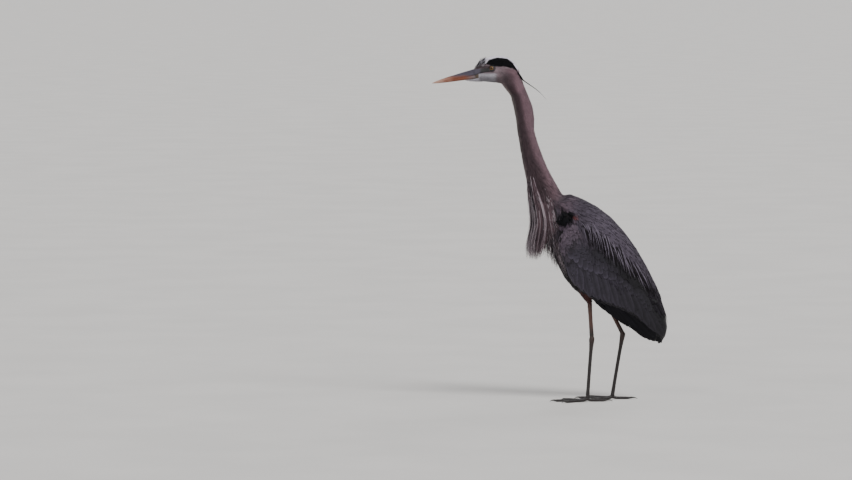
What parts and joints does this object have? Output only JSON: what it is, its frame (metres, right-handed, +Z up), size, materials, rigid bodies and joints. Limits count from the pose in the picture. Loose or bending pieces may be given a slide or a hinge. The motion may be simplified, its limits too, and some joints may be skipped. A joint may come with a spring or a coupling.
{
  "type": "great blue heron",
  "caption": "Life-size standing great blue heron with raised neck, dagger bill, folded wings, breast plumes and long legs; a still display animal.",
  "frame": {"origin": "middle of the footprint's bounding box, on the floor that the toes stand on", "axes": "+Z up, -X the way the bill points, -Y the bird's left side"},
  "size_m": [0.721, 0.185, 1.0541],
  "materials": {
    "head_feather": "soft white head feathers, black band over the eye",
    "bill_horn": "orange horn, dusky along the ridge",
    "eye": "wet yellow iris with a round black pupil",
    "black_feather": "blue-black feathers, slight sheen",
    "neck_feather": "fine mauve-grey feathers",
    "plume": "loose pale grey hair-like plumes",
    "body_feather": "dark belly and flank feathers",
    "slate_feather": "slate-blue back feathers with pale plumes",
    "wing_feather": "slate-grey coverts and secondaries",
    "thigh_feather": "short chestnut feathers",
    "leg_skin": "orange-brown scaled skin",
    "foot_skin": "dark scaled skin",
    "claw_horn": "dark horn"
  },
  "bodies": {
    "root": {"head": "head_feather", "bill_upper": "bill_horn", "bill_lower": "bill_horn", "eye_left": "eye", "eye_right": "eye", "crest_plume_left": "black_feather", "crest_plume_right": "black_feather", "neck_upper": "neck_feather", "neck_middle": "neck_feather", "neck_lower": "neck_feather", "breast_plumes": "plume", "trunk": "body_feather", "cape_left": "slate_feather", "cape_right": "slate_feather", "shoulder_patch_left": "black_feather", "shoulder_patch_right": "black_feather", "wing_left": "wing_feather", "wing_right": "wing_feather", "primaries_left": "black_feather", "primaries_right": "black_feather", "tail": "slate_feather", "thigh_left": "thigh_feather", "shank_left": "leg_skin", "tarsus_left": "leg_skin", "foot_left": "foot_skin", "claw_left_hind": "claw_horn", "claw_left_inner": "claw_horn", "claw_left_middle": "claw_horn", "claw_left_outer": "claw_horn", "thigh_right": "thigh_feather", "shank_right": "leg_skin", "tarsus_right": "leg_skin", "foot_right": "foot_skin", "claw_right_hind": "claw_horn", "claw_right_inner": "claw_horn", "claw_right_middle": "claw_horn", "claw_right_outer": "claw_horn"}
  },
  "joints": []
}
